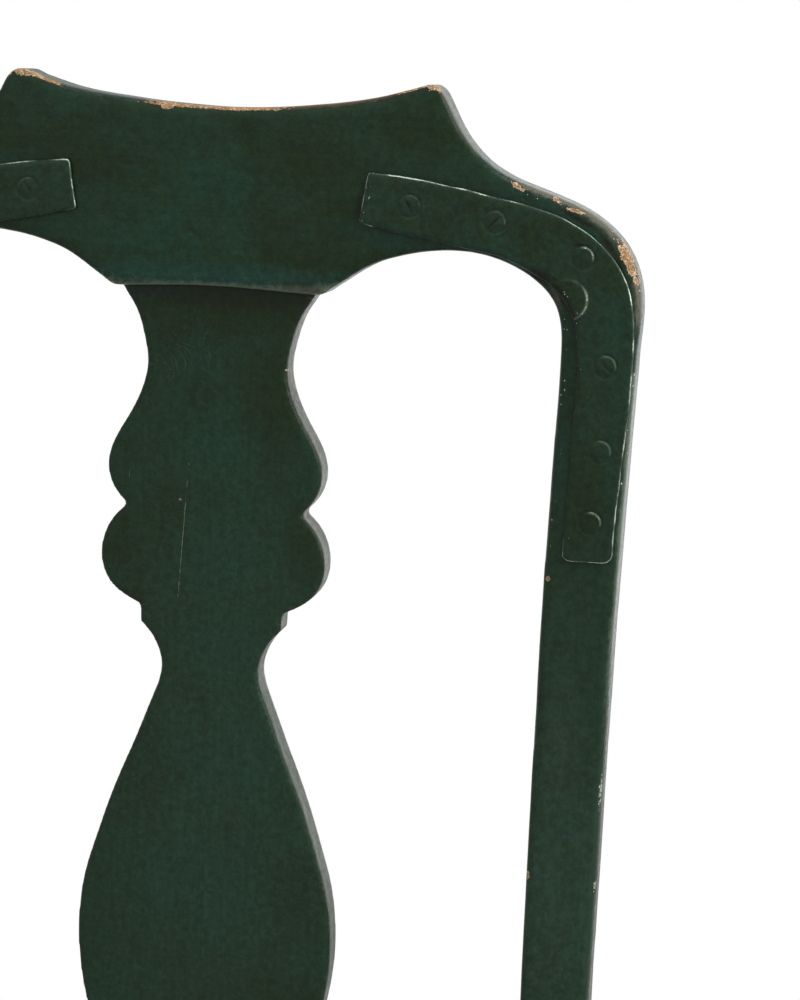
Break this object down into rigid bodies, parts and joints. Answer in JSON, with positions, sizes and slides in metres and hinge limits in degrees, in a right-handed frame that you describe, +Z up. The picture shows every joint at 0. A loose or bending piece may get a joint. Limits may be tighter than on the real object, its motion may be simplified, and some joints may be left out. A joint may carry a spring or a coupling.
{
  "type": "high-back chair",
  "caption": "High-back side chair in dark painted wood: shaped crest rail, flat baluster splat, corner irons on the back, board seat, bow front legs and turned stretchers.",
  "frame": {"origin": "on the floor, under the middle of the whole chair's box", "axes": "+Z up, the chair faces -Y, +X is the sitter's left"},
  "size_m": [0.5124, 0.4944, 1.119],
  "materials": {
    "painted_wood": "worn dark green oil paint over fine-grained wood, satin, crackled and chipped to bare wood at the edges",
    "inner_wood": "unpainted softwood, aged and dusty",
    "painted_iron": "dark green oil paint over hand-filed iron, satin, rubbed bright on the edges",
    "bare_steel": "dull, slightly rusty"
  },
  "bodies": {
    "root": {"crest_rail": "painted_wood", "splat": "painted_wood", "splat_shoe": "painted_wood", "rear_post_left": "painted_wood", "rear_post_right": "painted_wood", "front_leg_left": "painted_wood", "front_leg_right": "painted_wood", "rear_rail": "painted_wood", "front_rail": "painted_wood", "side_rail_left": "painted_wood", "side_rail_right": "painted_wood", "rear_cleat": "inner_wood", "seat_board_left": "painted_wood", "seat_board_middle": "painted_wood", "seat_board_right": "painted_wood", "corner_block_front_left": "inner_wood", "corner_block_front_right": "inner_wood", "corner_block_rear_left": "inner_wood", "corner_block_rear_right": "inner_wood", "knee_bracket_front_left": "painted_wood", "knee_bracket_front_right": "painted_wood", "knee_bracket_side_left": "painted_wood", "knee_bracket_side_right": "painted_wood", "side_stretcher_left": "painted_wood", "side_stretcher_right": "painted_wood", "cross_stretcher": "painted_wood", "rear_stretcher": "painted_wood", "corner_iron_left": "painted_iron", "corner_iron_right": "painted_iron", "iron_screws_left": "painted_iron", "iron_screws_right": "painted_iron", "rail_pegs": "painted_wood", "seat_nails": "painted_iron", "block_screws": "bare_steel"}
  },
  "joints": []
}
